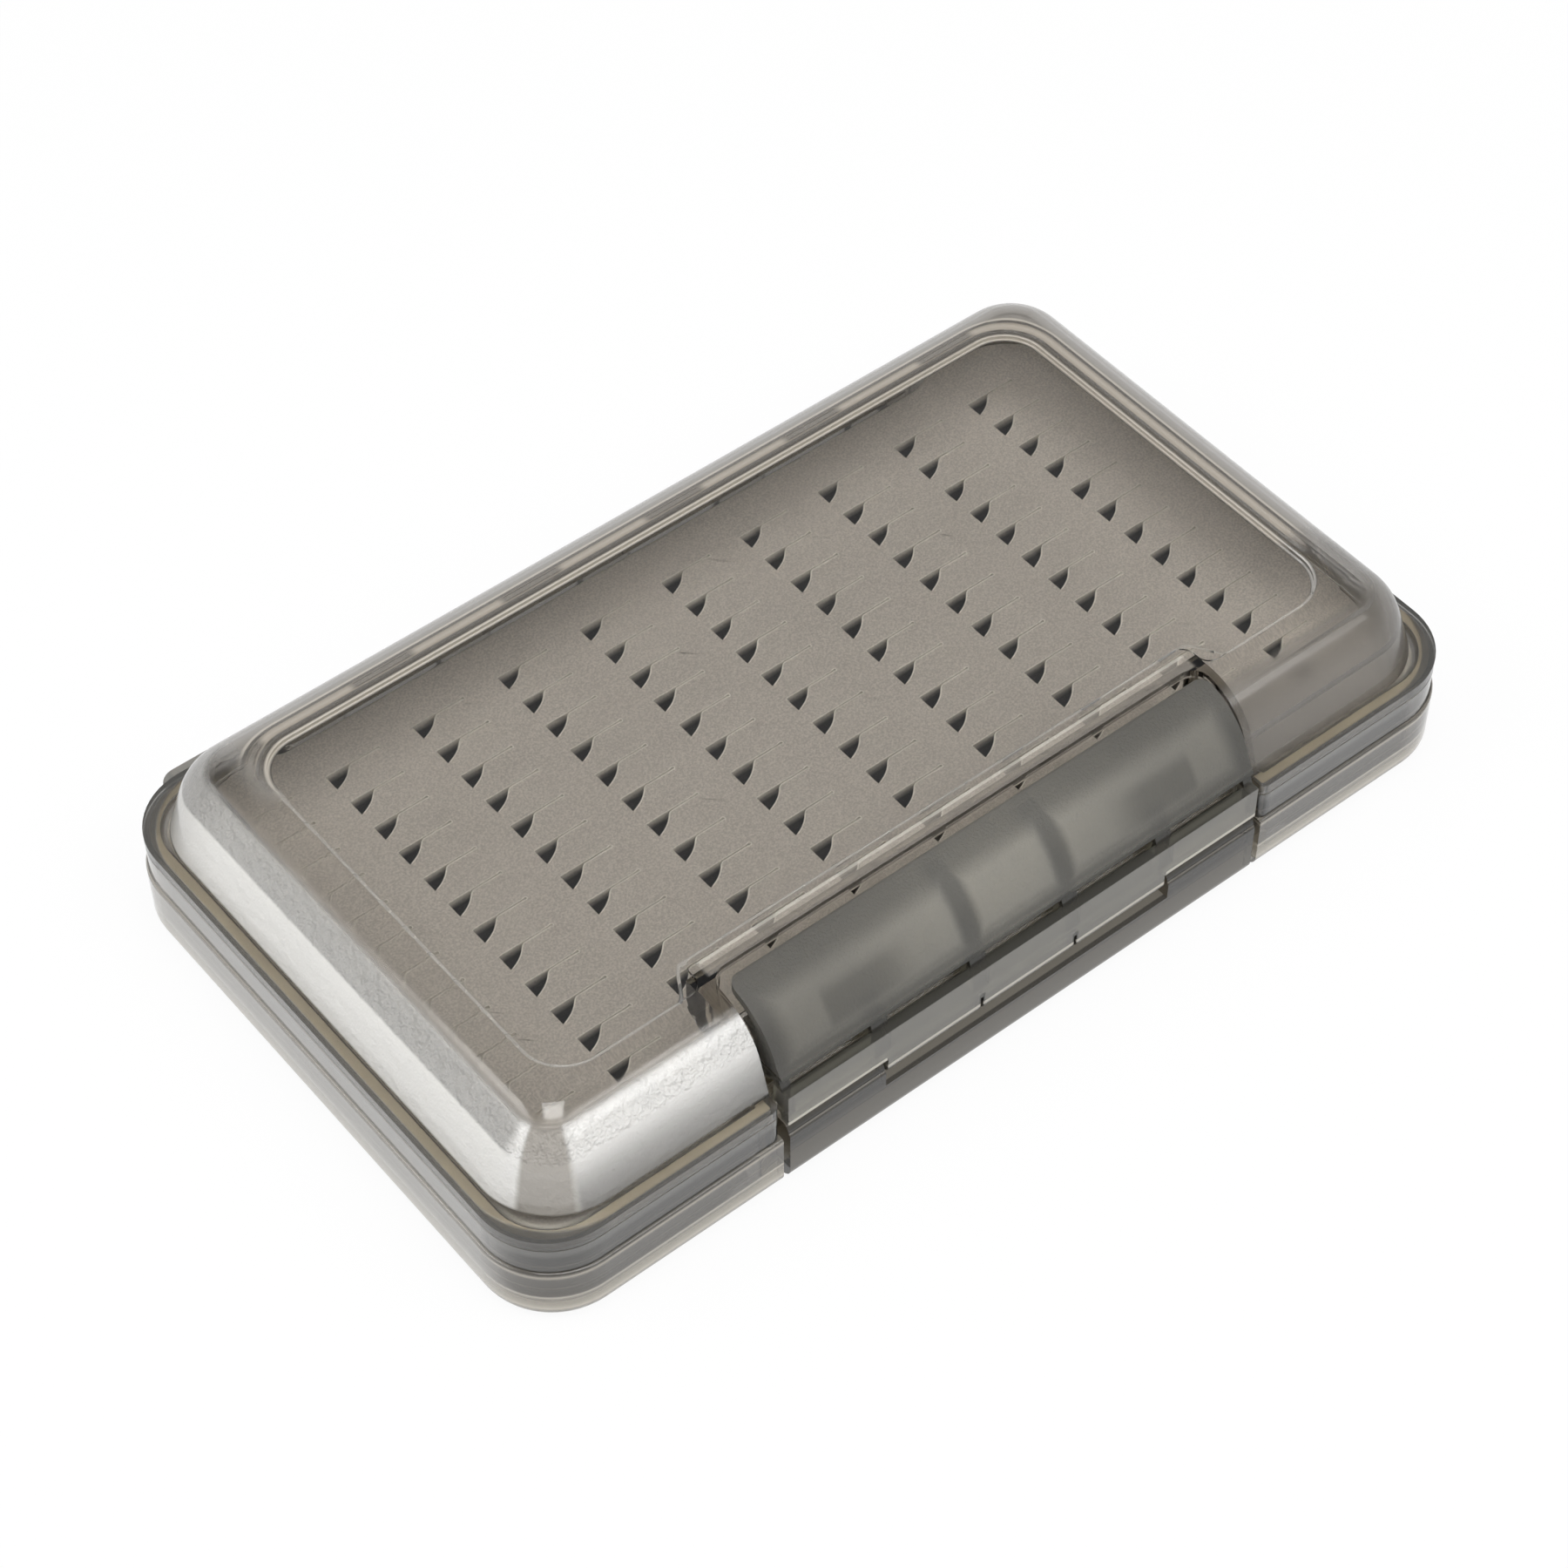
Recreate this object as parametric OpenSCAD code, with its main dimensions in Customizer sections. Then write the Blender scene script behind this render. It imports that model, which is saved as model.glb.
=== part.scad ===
// Slim fly box: a shallow tray with slit foam, a domed clear lid on a pinned back hinge,
// a seal in the lid flange and a rocking snap latch in a notch at the front of the lid.
// Units are millimetres. X runs along the length, the latch faces -Y, the hinge faces +Y,
// and the underside stands on Z = 0.

/* [Case] */
// length of the rim, end to end
case_l = 152; // [126:1:200]
// width of the rim, front to back
case_w = 89; // [76:0.5:110]
// height of the closed case
case_h = 27; // [25:0.5:34]
// radius of the rim corners seen from above
corner_r = 10; // [7:0.5:12]
// height of the lid's underside, where the case parts
part_z = 13.8; // [13:0.1:16]
// thickness of the tray floor
floor_t = 1.8; // [1.2:0.1:3]
// thickness of the tray wall at the rim
rim_t = 2.6; // [2.4:0.1:3.2]
// height of the small ledge round the tray
ledge_z = 9.2; // [8.4:0.1:9.6]
// how far the tray wall stands out below the ledge
ledge_out = 0.4; // [0.2:0.1:0.8]
// radius of the bottom edge
edge_r = 2; // [1:0.1:3]

/* [Lid] */
// thickness of the lid flange
flange_t = 1.6; // [1.5:0.1:2.4]
// wall thickness of the dome
dome_t = 1.8; // [1.4:0.1:2.2]
// lean of the dome walls, in degrees
dome_lean = 17; // [12:1:20]
// radius of the dome shoulder
shoulder_r = 9; // [8:0.1:10]
// distance from the rim edge to the flat top
shoulder_in = 12.5; // [12.1:0.1:14]
// distance from the flat top's edge to the sunk panel
panel_in = 1; // [0.6:0.1:3]
// depth of the sunk panel
panel_deep = 0.5; // [0.2:0.1:0.8]
// corner radius of the sunk panel
panel_r = 6; // [3:0.5:9]

/* [Seal] */
// distance from the rim edge to the seal
seal_in = 0.8; // [0.6:0.1:1.1]
// width of the seal
seal_w = 1.4; // [1:0.1:1.6]
// depth of the seal groove in the flange
groove_d = 1; // [0.6:0.1:1.1]

/* [Hinge] */
// diameter of the hinge pin
hinge_pin_d = 2; // [1.6:0.1:2.2]
// outer radius of the hinge knuckles
knuckle_r = 1.8; // [1.7:0.05:1.9]
// width of one tray knuckle
knuckle_w = 8; // [6:0.5:10]
// distance between tray knuckle centres
knuckle_pitch = 23.3; // [19:0.1:27]

/* [Latch] */
// width of the latch
latch_w = 76.4; // [64:0.1:92]
// depth of the front bay that the latch stands in
bay_d = 3.1; // [2.9:0.1:3.4]
// diameter of a latch pin
latch_pin_d = 1.6; // [1.2:0.1:1.8]
// thickness of the latch flap
flap_t = 1.2; // [0.9:0.1:1.4]

/* [Foam] */
// distance between slit columns
slit_pitch_x = 13.5; // [12.5:0.1:15]
// distance between slit rows
slit_pitch_y = 5.33; // [5:0.01:6]
// length of a slit from its mouth
slit_l = 4.9; // [3:0.1:6]
// depth of the slits
slit_deep = 6; // [3:0.5:9]

/* [Hidden] */
$fn = 96;

// half sizes of the rim
hl = case_l / 2;
hw = case_w / 2;
// the tray rim stops short of the lid by this gap, which the seal closes
part_gap = 0.2;
rim_z = part_z - part_gap;
flange_z = part_z + flange_t;
run_gap = 0.05;
eps = 0.01;
cut = 60;
// the dome corners turn about an axis this far inside the edge of the flat top
top_axis = 0.5;

// front bay and the lid notch above it
side_gap = 1;
bay_a = latch_w / 2 + side_gap;
bay_y = -hw + bay_d;
bay_ri = 0.8;
bay_ro = 1.2;
notch_back = -hw + 13.9;
notch_r = 2.5;
notch_foot_y = -hw + 6.6;
notch_rise = 5.1;

// hinge
hinge_a = 2.5 * knuckle_pitch - knuckle_w / 2 - 3.25;
hinge_cut = 1.6;
hinge_y = hw + 0.4;
hinge_z = part_z - 0.5;
end_knuckle = hinge_a - 0.25;
knuckle_gap = 0.15;
hinge_pin_r = hinge_pin_d / 2;
bracket_top = hinge_z - 0.7;
bracket_out = 3.3;
bracket_low = 3.2;
bracket_r = 2.5;
bracket_l = hl - corner_r + 3 - hinge_a;

// latch pivot and profile, measured from the rim front and the flange top
pivot_y = -hw + 5.1;
pivot_z = flange_z + 2;
lug_r = 1.6;
latch_pin_r = latch_pin_d / 2;
face_y = -hw - 0.1;
strip_t = 1.4;
strip_top = flange_z + 1;
strip_low = ledge_z + 1.7;
tab_low = ledge_z - 1;
tab_gap = 0.5;
zone = latch_w / 5;
flap_y = -hw + 12.1;
flap_z = case_h - 9.6;
flap_r = 10.3;
flap_low = flange_z + 2.9;
flap_lip_y = -hw + 1;
flap_end = 85;
flap_start = 15;
flap_corner = 2;
flap_top = flap_y - flap_r * cos(flap_end) + 0.6;
rib_t = 1.4;
rib_deep = 3.2;
nose_y = bay_y - 0.75;
lip_y = bay_y - 0.55;
lip_low = ledge_z + 1.2;
lip_high = ledge_z + 2.2;
plate_low = ledge_z - 2.8;
plate_high = ledge_z + 1.3;
plate_r = 1.2;
plate_a = 1.5 * zone + 0.3;

// foam
film_t = 0.3;
foam_gap = 0.3;
foam_low = floor_t + film_t;
slit_rows = 13;
slit_cols = 10;
slit_x0 = -slit_pitch_x * 4.8;
slit_y0 = 6 * slit_pitch_y + 0.96;
mouth_x = 3.45;
mouth_y = 2.5;
mouth_r = 3.6;
slit_w = 0.3;

// a rounded rectangle from half sizes and a corner radius
module pad2(a, b, r) {
  square([2 * a, 2 * (b - r)], center = true);
  square([2 * (a - r), 2 * b], center = true);
  for (sx = [-1, 1], sy = [-1, 1])
    translate([sx * (a - r), sy * (b - r)])
      circle(r);
}

// a bay of half width a and depth d, open towards -Y, with rounded inner and outer corners
module bay2(a, d, ri, ro) {
  translate([-a, -cut])
    square([2 * a, cut + d - ri]);
  translate([-(a - ri), -cut])
    square([2 * (a - ri), cut + d]);
  for (s = [-1, 1]) {
    translate([s * (a - ri), d - ri])
      circle(ri);
    difference() {
      translate([s * (a + ro / 2) - ro / 2, -cut])
        square([ro, cut + ro]);
      translate([s * (a + ro), ro])
        circle(ro);
    }
  }
}

// the rim outline set in by i, with the latch bay in front and the hinge bay behind
module outline(i) {
  difference() {
    pad2(hl - i, hw - i, corner_r - i);
    translate([0, -(hw - i)])
      bay2(bay_a + i, bay_d, bay_ri + i, max(0.2, bay_ro - i));
    translate([0, hw - i])
      mirror([0, 1])
        bay2(hinge_a + i, hinge_cut, 0.4 + i, max(0.2, 0.8 - i));
  }
}

// carries a half profile round a rounded rectangle; r = 0 lies at the corner centre
module carried(a, b, c, z0, z1) {
  rotate([90, 0, 90])
    translate([0, 0, -(a - c)])
      linear_extrude(2 * (a - c)) {
        translate([-(b - c), z0])
          square([2 * (b - c), z1 - z0]);
        for (m = [0, 1])
          mirror([m, 0])
            translate([b - c, 0])
              children();
      }
  rotate([90, 0, 0])
    translate([0, 0, -(b - c)])
      linear_extrude(2 * (b - c)) {
        translate([-(a - c), z0])
          square([2 * (a - c), z1 - z0]);
        for (m = [0, 1])
          mirror([m, 0])
            translate([a - c, 0])
              children();
      }
  for (m = [0, 1], n = [0, 1])
    mirror([m, 0, 0])
      mirror([0, n, 0])
        translate([a - c, b - c, 0])
          rotate_extrude(angle = 90)
            children();
}

// half profile of the dome, set in by t, standing on height z0
module dome_half(t, z0) {
  r = shoulder_r - t;
  zc = case_h - shoulder_r;
  zt = zc + r * sin(dome_lean);
  rt = top_axis + r * cos(dome_lean);
  polygon([[0, z0], [rt + (zt - z0) * tan(dome_lean), z0], [rt, zt], [top_axis, zc], [0, zc]]);
  translate([0, zc - eps])
    square([top_axis, r + eps]);
  translate([top_axis, zc])
    intersection() {
      circle(r);
      polygon([[0, 0], [cut * cos(dome_lean), cut * sin(dome_lean)], [cut, cut], [0, cut]]);
    }
}

module dome(t, z0) {
  carried(hl, hw, shoulder_in + top_axis, z0, case_h - t)
    dome_half(t, z0);
}

// the notch in the lid front, grown by g, with square corners
module notch_block(g) {
  bar(-bay_a - g, bay_a + g)
    offset(delta = g)
      polygon([[-hw - cut, flange_z], [notch_foot_y, flange_z],
               [notch_back, flange_z + notch_rise], [notch_back, case_h + cut],
               [-hw - cut, case_h + cut]]);
}

// the notch itself, with rounded back corners
module notch() {
  intersection() {
    notch_block(0);
    linear_extrude(2 * cut)
      translate([0, -hw])
        bay2(bay_a, notch_back + hw, notch_r, 0.2);
  }
}

// the sunk panel, with its front edge set back behind the notch
module panel2() {
  a = hl - shoulder_in - panel_in;
  b = hw - shoulder_in - panel_in + 0.6;
  difference() {
    pad2(a, b, panel_r);
    translate([0, -b])
      bay2(bay_a + 1.2, notch_back + 3.5 + b, 1.9, 1.9);
  }
}

// half profile of the tray below its ledge
module skirt_half() {
  r = corner_r + ledge_out;
  translate([0, edge_r])
    square([r, ledge_z - ledge_out - edge_r]);
  square([r - edge_r, ledge_z]);
  translate([0, edge_r])
    square([r - ledge_out, ledge_z - edge_r]);
  translate([r - edge_r, edge_r])
    circle(edge_r);
  translate([r - ledge_out, ledge_z - ledge_out])
    circle(ledge_out);
}

// a bar along X from x0 to x1 with the given profile in Y and Z
module bar(x0, x1) {
  translate([x0, 0, 0])
    rotate([90, 0, 90])
      linear_extrude(x1 - x0)
        children();
}

// one tray knuckle with its web to the tray wall
module tray_knuckle(x0, x1) {
  bar(x0, x1) {
    translate([hinge_y, hinge_z])
      circle(knuckle_r);
    polygon([[hw - hinge_cut - 0.5, bracket_low + 2], [hinge_y, hinge_z - knuckle_r],
             [hinge_y, hinge_z], [hw - hinge_cut - 0.5, hinge_z]]);
  }
}

// one lid knuckle with its web to the flange
module lid_knuckle(x0, x1) {
  bar(x0, x1) {
    translate([hinge_y, hinge_z])
      circle(knuckle_r);
    translate([hw - hinge_cut - 1, part_z])
      square([hinge_y - hw + hinge_cut + 1, hinge_z + knuckle_r - part_z]);
  }
}

// shoulders that stand out behind the tray beside the hinge
module bracket() {
  x0 = end_knuckle - 1;
  translate([0, 0, bracket_low])
    linear_extrude(bracket_top - bracket_low) {
      translate([x0, hw - hinge_cut - 1])
        square([bracket_l - bracket_r, hinge_cut + 1 + bracket_out]);
      translate([x0, hw - hinge_cut - 1])
        square([bracket_l, hinge_cut + 1 + bracket_out - bracket_r]);
      translate([x0 + bracket_l - bracket_r, hw + bracket_out - bracket_r])
        circle(bracket_r);
    }
}

module base_tray() {
  color([0.55, 0.55, 0.53, 0.75])
    difference() {
      union() {
        carried(hl, hw, corner_r, 0, ledge_z)
          skirt_half();
        translate([0, 0, ledge_z - 1])
          linear_extrude(rim_z - ledge_z + 1)
            outline(0);
        // front plate ends that stand up beside the latch tabs
        for (s = [0, 1])
          mirror([s, 0, 0])
            bar(plate_a, latch_w / 2) {
              translate([face_y, ledge_z - 1])
                square([bay_y - face_y + 1, plate_high - plate_r - ledge_z + 1]);
              translate([face_y + plate_r, ledge_z - 1])
                square([bay_y - face_y - plate_r + 1, plate_high - ledge_z + 1]);
              translate([face_y + plate_r, plate_high - plate_r])
                circle(plate_r);
            }
        // catch lip that the latch noses stand under
        bar(-plate_a + 1, plate_a - 1)
          polygon([[bay_y + 0.5, lip_low], [lip_y, lip_low], [lip_y, lip_low + 0.5],
                   [bay_y + 0.5, lip_high + 0.6]]);
        for (s = [0, 1])
          mirror([s, 0, 0]) {
            bracket();
            tray_knuckle(2 * knuckle_pitch - knuckle_w / 2, end_knuckle);
          }
        for (k = [-1:1])
          tray_knuckle(k * knuckle_pitch - knuckle_w / 2, k * knuckle_pitch + knuckle_w / 2);
      }
      translate([0, 0, floor_t])
        linear_extrude(cut)
          outline(rim_t);
      // gaps at the ends of the front plate, and the step under the latch tabs
      for (s = [0, 1])
        mirror([s, 0, 0])
          translate([latch_w / 2, -hw - cut, -1])
            cube([side_gap, cut + bay_d, cut]);
      translate([-plate_a, -hw - cut, plate_low])
        cube([2 * plate_a, cut + bay_d, ledge_z - plate_low + eps]);
      // the tray below the ledge is cut back behind the knuckles
      translate([-hinge_a, hw - hinge_cut, bracket_low + 3.5])
        difference() {
          cube([2 * hinge_a, cut, ledge_z - bracket_low - 3.5 + eps]);
          for (k = [-2:2])
            translate([hinge_a + k * knuckle_pitch - knuckle_w / 2, -1, -1])
              cube([knuckle_w, 3, cut]);
        }
      translate([-end_knuckle - 1, hinge_y, hinge_z])
        rotate([0, 90, 0])
          cylinder(h = 2 * end_knuckle + 2, r = hinge_pin_r + run_gap);
    }
}

module foam_adhesive() {
  color([0.82, 0.80, 0.74])
    translate([0, 0, floor_t])
      linear_extrude(film_t)
        outline(rim_t + foam_gap + 1);
}

// one slit mouth: two straight sides, one bulging side, and the slit that runs on from it
module slit2() {
  mx = mouth_x / 2;
  my = -mouth_y / 2;
  d = sqrt(mouth_x * mouth_x + mouth_y * mouth_y);
  h = sqrt(mouth_r * mouth_r - d * d / 4);
  intersection() {
    translate([0, -mouth_y])
      square([mouth_x + mouth_y, mouth_y]);
    translate([mx - h * mouth_y / d, my + h * mouth_x / d])
      circle(mouth_r);
  }
  translate([mouth_x - 0.1, -slit_w])
    square([slit_l, slit_w]);
}

module slit_foam() {
  color([0.60, 0.58, 0.54])
    difference() {
      translate([0, 0, foam_low])
        linear_extrude(rim_z - foam_low)
          outline(rim_t + foam_gap);
      translate([0, 0, rim_z - slit_deep])
        linear_extrude(slit_deep + 1)
          intersection() {
            outline(rim_t + foam_gap + 0.8);
            for (c = [0:slit_cols - 1], r = [0:slit_rows - 1])
              translate([slit_x0 + c * slit_pitch_x, slit_y0 - r * slit_pitch_y])
                slit2();
          }
    }
}

module hinge_pin() {
  color([0.75, 0.76, 0.78])
    translate([-end_knuckle + 1, hinge_y, hinge_z])
      rotate([0, 90, 0])
        cylinder(h = 2 * end_knuckle - 2, r = hinge_pin_r);
}

// a ring that follows the rim outline between two insets
module seal_ring2(i0, i1) {
  difference() {
    outline(i0);
    outline(i1);
  }
}

module lid_cover() {
  color([0.62, 0.63, 0.62, 0.45])
    difference() {
      union() {
        difference() {
          union() {
            translate([0, 0, part_z])
              linear_extrude(flange_t)
                outline(0);
            dome(0, flange_z);
          }
          difference() {
            dome(dome_t, part_z - 1);
            notch_block(dome_t);
          }
          notch();
          translate([0, 0, case_h - panel_deep])
            linear_extrude(cut)
              panel2();
        }
        // pivot lugs in the notch
        for (s = [0, 1])
          mirror([s, 0, 0])
            bar(zone / 2 + rib_t, 1.5 * zone - rib_t) {
              translate([pivot_y, pivot_z])
                circle(lug_r);
              translate([pivot_y - lug_r, flange_z - 0.5])
                square([2 * lug_r, pivot_z - flange_z + 0.5]);
            }
        for (k = [-2:1])
          lid_knuckle(k * knuckle_pitch + knuckle_w / 2 + knuckle_gap,
                      (k + 1) * knuckle_pitch - knuckle_w / 2 - knuckle_gap);
      }
      translate([0, 0, part_z - 1])
        linear_extrude(groove_d + 1)
          seal_ring2(seal_in, seal_in + seal_w);
      translate([-end_knuckle, hinge_y, hinge_z])
        rotate([0, 90, 0])
          cylinder(h = 2 * end_knuckle, r = hinge_pin_r + run_gap);
      translate([-latch_w / 2, pivot_y, pivot_z])
        rotate([0, 90, 0])
          cylinder(h = latch_w, r = latch_pin_r + run_gap);
    }
}

module lid_seal() {
  color([0.72, 0.68, 0.45])
    translate([0, 0, rim_z])
      linear_extrude(part_gap + groove_d)
        seal_ring2(seal_in + 0.05, seal_in + seal_w - 0.05);
}

module latch_pin(s) {
  color([0.75, 0.76, 0.78])
    translate([s > 0 ? zone / 2 - 0.9 : -1.5 * zone - 0.9, pivot_y, pivot_z])
      rotate([0, 90, 0])
        cylinder(h = zone + 1.8, r = latch_pin_r);
}

module left_latch_pin() {
  latch_pin(-1);
}

module right_latch_pin() {
  latch_pin(1);
}

// the curved band of the flap between radius r0 and r1, from angle a to angle b
module flap_band2(r0, r1, a, b) {
  translate([flap_y, flap_z])
    intersection() {
      difference() {
        circle(r1);
        circle(r0);
      }
      polygon([[0, 0], [-cut * cos(a), cut * sin(a)], [-cut, cut], [-cut * cos(b), cut * sin(b)]]);
    }
}

// a point on a circle about the flap's centre
function flap_at(r, a) = [flap_y - r * cos(a), flap_z + r * sin(a)];

// the flap from its low lip to its rounded tip
module flap2() {
  flap_band2(flap_r - flap_t, flap_r, flap_start, flap_end);
  translate(flap_at(flap_r - flap_t / 2, flap_end))
    circle(flap_t / 2);
  polygon([flap_at(flap_r, flap_start),
           [flap_lip_y, flap_low],
           [flap_lip_y + 1.6, flap_low],
           flap_at(flap_r - flap_t, flap_start)]);
}

// what a corner of radius r loses when it is rounded, seen from the corner's centre
module corner_cut2(r) {
  steps = 6;
  polygon(concat([[r + 1, 0], [r + 1, r + 1], [0, r + 1]],
                 [for (k = [0:steps]) [r * sin(90 * k / steps), r * cos(90 * k / steps)]]));
}

// the web that joins the flap to the strip in front of the flange
web_front = [flap_at(flap_r - flap_t / 2, 26),
             [flap_lip_y + 0.9, flap_low + 0.3],
             [face_y + strip_t - 0.4, strip_top - 0.4],
             [face_y + strip_t - 0.4, strip_low + 0.8],
             [bay_y - 0.3, strip_low + 1.6],
             [bay_y - 0.3, pivot_z - 0.3],
             [pivot_y, pivot_z - lug_r + 0.1]];

// a rib that joins the flap, the pivot hub and the strip
module rib2() {
  flap_band2(flap_r - rib_deep, flap_r - flap_t / 2, 20, 80);
  translate([pivot_y, pivot_z])
    circle(lug_r);
  polygon(concat(web_front, [[pivot_y + lug_r - 0.1, pivot_z], flap_at(flap_r - rib_deep - 0.2, 34)]));
}

// a hub that holds the pin end, joined to the flap and the strip
module hub2() {
  translate([pivot_y, pivot_z])
    circle(lug_r);
  polygon(concat(web_front, [[pivot_y, pivot_z + lug_r - 0.1]]));
}

module latch() {
  half = latch_w / 2;
  color([0.42, 0.43, 0.43, 0.9])
    difference() {
      union() {
        difference() {
          bar(-half, half)
            flap2();
          // rounded top corners of the flap
          for (m = [0, 1])
            mirror([m, 0, 0])
              translate([half - flap_corner, flap_top - flap_corner, flap_low + 4])
                linear_extrude(cut)
                  corner_cut2(flap_corner);
        }
        // the strip, and the three tabs below it
        bar(-half, half)
          translate([face_y, strip_low])
            square([strip_t, strip_top - strip_low]);
        for (k = [-1:1])
          bar(k * zone - zone / 2 + tab_gap / 2, k * zone + zone / 2 - tab_gap / 2) {
            translate([face_y, tab_low + 1])
              square([strip_t, strip_low - tab_low]);
            translate([face_y + 1, tab_low])
              square([strip_t - 1, strip_low - tab_low]);
            translate([face_y + 1, tab_low + 1])
              circle(1);
            // the nose that catches under the tray lip
            polygon([[face_y + strip_t - 0.3, tab_low + 0.2], [nose_y, tab_low + 0.7],
                     [nose_y, tab_low + 1.5], [face_y + strip_t - 0.3, tab_low + 1.8]]);
          }
        // ribs, end cheeks and pin hubs
        for (m = [0, 1])
          mirror([m, 0, 0]) {
            bar(zone / 2 - rib_t, zone / 2 + rib_t - 0.3)
              rib2();
            bar(1.5 * zone - rib_t + 0.3, 1.5 * zone + rib_t)
              hub2();
            bar(half - rib_t, half)
              difference() {
                rib2();
                translate([flap_y - 6, case_h - 3.5])
                  square([cut, cut]);
              }
          }
      }
      for (m = [0, 1])
        mirror([m, 0, 0])
          translate([zone / 2 - 1, pivot_y, pivot_z])
            rotate([0, 90, 0])
              cylinder(h = zone + 2, r = latch_pin_r + run_gap);
    }
}

base_tray();
foam_adhesive();
slit_foam();
hinge_pin();
lid_cover();
lid_seal();
left_latch_pin();
right_latch_pin();
latch();
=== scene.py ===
"""Looks of a slim smoke-clear fly box: tray, domed lid, seal, rocking latch, pins and slit foam.

Lengths are metres and the frame is the CAD model's: X along the length, the latch towards -Y,
Z up, and the underside on Z = 0.
"""

import math
from types import SimpleNamespace

import bmesh
import bpy
import numpy as np
from bpy.props import FloatProperty, FloatVectorProperty, IntProperty, PointerProperty
from bpy.types import Operator, Panel, PropertyGroup
from mathutils import Matrix, Vector


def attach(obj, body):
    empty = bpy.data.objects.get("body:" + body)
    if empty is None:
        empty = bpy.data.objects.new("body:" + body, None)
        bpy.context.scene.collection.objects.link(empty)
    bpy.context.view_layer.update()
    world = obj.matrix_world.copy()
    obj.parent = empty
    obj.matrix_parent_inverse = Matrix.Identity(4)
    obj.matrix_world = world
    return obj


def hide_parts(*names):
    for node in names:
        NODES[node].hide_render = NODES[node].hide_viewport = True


bl_info = {
    "name": "Fly box looks",
    "version": (1, 0, 0),
    "blender": (4, 5, 0),
    "location": "View3D > Sidebar > Fly box",
    "description": "Smoke-clear plastics, silicone seal, steel pins and slit foam of a slim fly box",
    "category": "Object",
}

MM = 0.001

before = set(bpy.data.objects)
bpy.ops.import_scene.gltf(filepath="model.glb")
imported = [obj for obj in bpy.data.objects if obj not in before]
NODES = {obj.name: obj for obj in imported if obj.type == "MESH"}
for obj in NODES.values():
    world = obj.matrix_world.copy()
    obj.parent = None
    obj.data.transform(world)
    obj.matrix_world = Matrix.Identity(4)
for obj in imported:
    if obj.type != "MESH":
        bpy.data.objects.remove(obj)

# the rim outline, in millimetres, as the CAD model has it
RIM_HALF_L = 76.0
RIM_HALF_W = 44.5
RIM_R = 10.0
RIM_WALL = 2.6
BAY_HALF = 39.2
BAY_DEEP = 3.1
HINGE_HALF = 51.0
HINGE_CUT = 1.6
KNUCKLE_PITCH = 23.3

# the dome's shoulder: flat top edge, arc centre height and outer radius, in millimetres
SHOULDER_IN = 12.5
SHOULDER_Z = 18.0
SHOULDER_R = 9.0
LEAN = math.tan(math.radians(17.0))

# the recess in the lid's top, in millimetres; its front edge steps back beside the notch
RECESS_HALF_L = 62.5
RECESS_BACK = 31.6
RECESS_FRONT = 27.1
RECESS_STEP = 4.5
RECESS_R = 6.0

# heights at which the lid's dome and its top begin, in millimetres
DOME_LOW = 15.5
TOP_LOW = 25.6

# the latch flap's arc, in millimetres
FLAP_Y = -32.4
FLAP_Z = 17.4
FLAP_R = 10.3

# the latch below its flap, in millimetres: the front face, the lower edges of the tabs and of the
# strip beside them, and where the middle tab and the row of tabs end
LATCH_FACE = 44.6
TAB_LOW = 9.2
STRIP_LOW = 10.9
TAB_SPLIT = 7.64
TABS_END = 22.9
# a painted highlight along the tabs' lower edges
TAB_GLINT = (0.62, 0.58, 0.50, 1.0)

# the foam, in millimetres: its skin and underside, its clearance and where its skin ends in front
FOAM_TOP = 13.6
FOAM_LOW = 2.1
FOAM_GAP = 0.3
FOAM_FRONT = 38.0

# the tile round each slit, from the slit's corner, and the place of the first slit, in millimetres
TILE_LEFT = -2.5
TILE_HIGH = 1.43
FIRST_ROW = 32.94
# the first slit's place, in column pitches left of the centre
FIRST_COLUMN = 4.8
# points along a slit's lips and round its ends
LIP_POINTS = 18
END_POINTS = 6

# profiles of an open and of a closed slit: distance outside its edge and rise above the skin, in mm
OPEN_SLIT = ((0.75, 0.0), (0.26, 0.0), (0.14, 0.07), (0.04, 0.04), (0.0, -0.08), (0.0, -0.5), (0.0, -5.5))
SHUT_SLIT = ((0.75, 0.0), (0.28, 0.0), (0.15, 0.06), (0.07, 0.0), (0.02, -0.3), (-0.04, -0.05), (-0.1, 0.0))
# the foam's rounded border: distance inside its edge and rise above the skin, in millimetres
FOAM_EDGE = ((1.1, 0.0), (0.45, -0.03), (0.12, -0.2), (0.0, -0.6), (0.0, FOAM_LOW - FOAM_TOP))

# tones of the lid's milky layer, among them painted highlights and painted shade
# a painted highlight
GLINT = (0.96, 0.95, 0.92, 1.0)
FRONT_SMOKE = (0.33, 0.325, 0.31, 1.0)
CORNER_SMOKE = (0.44, 0.415, 0.375, 1.0)
# painted shade: the darker smoke on the lid's right side
PAINTED_SHADE_SMOKE = (0.14, 0.126, 0.107, 1.0)
# a painted highlight along the recess edge
RECESS_HIGHLIGHT_TONE = (0.78, 0.75, 0.69, 1.0)
LAND_TONE = (0.50, 0.45, 0.385, 1.0)
# a painted highlight along the notch's crease
CREASE_HIGHLIGHT_TONE = (0.85, 0.80, 0.70, 1.0)
# painted shadow of the hinge knuckles on the far shoulder
KNUCKLE_SHADOW_TONE = (0.06, 0.055, 0.046, 1.0)
FLANGE_TONE = (0.10, 0.10, 0.095, 1.0)
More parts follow.
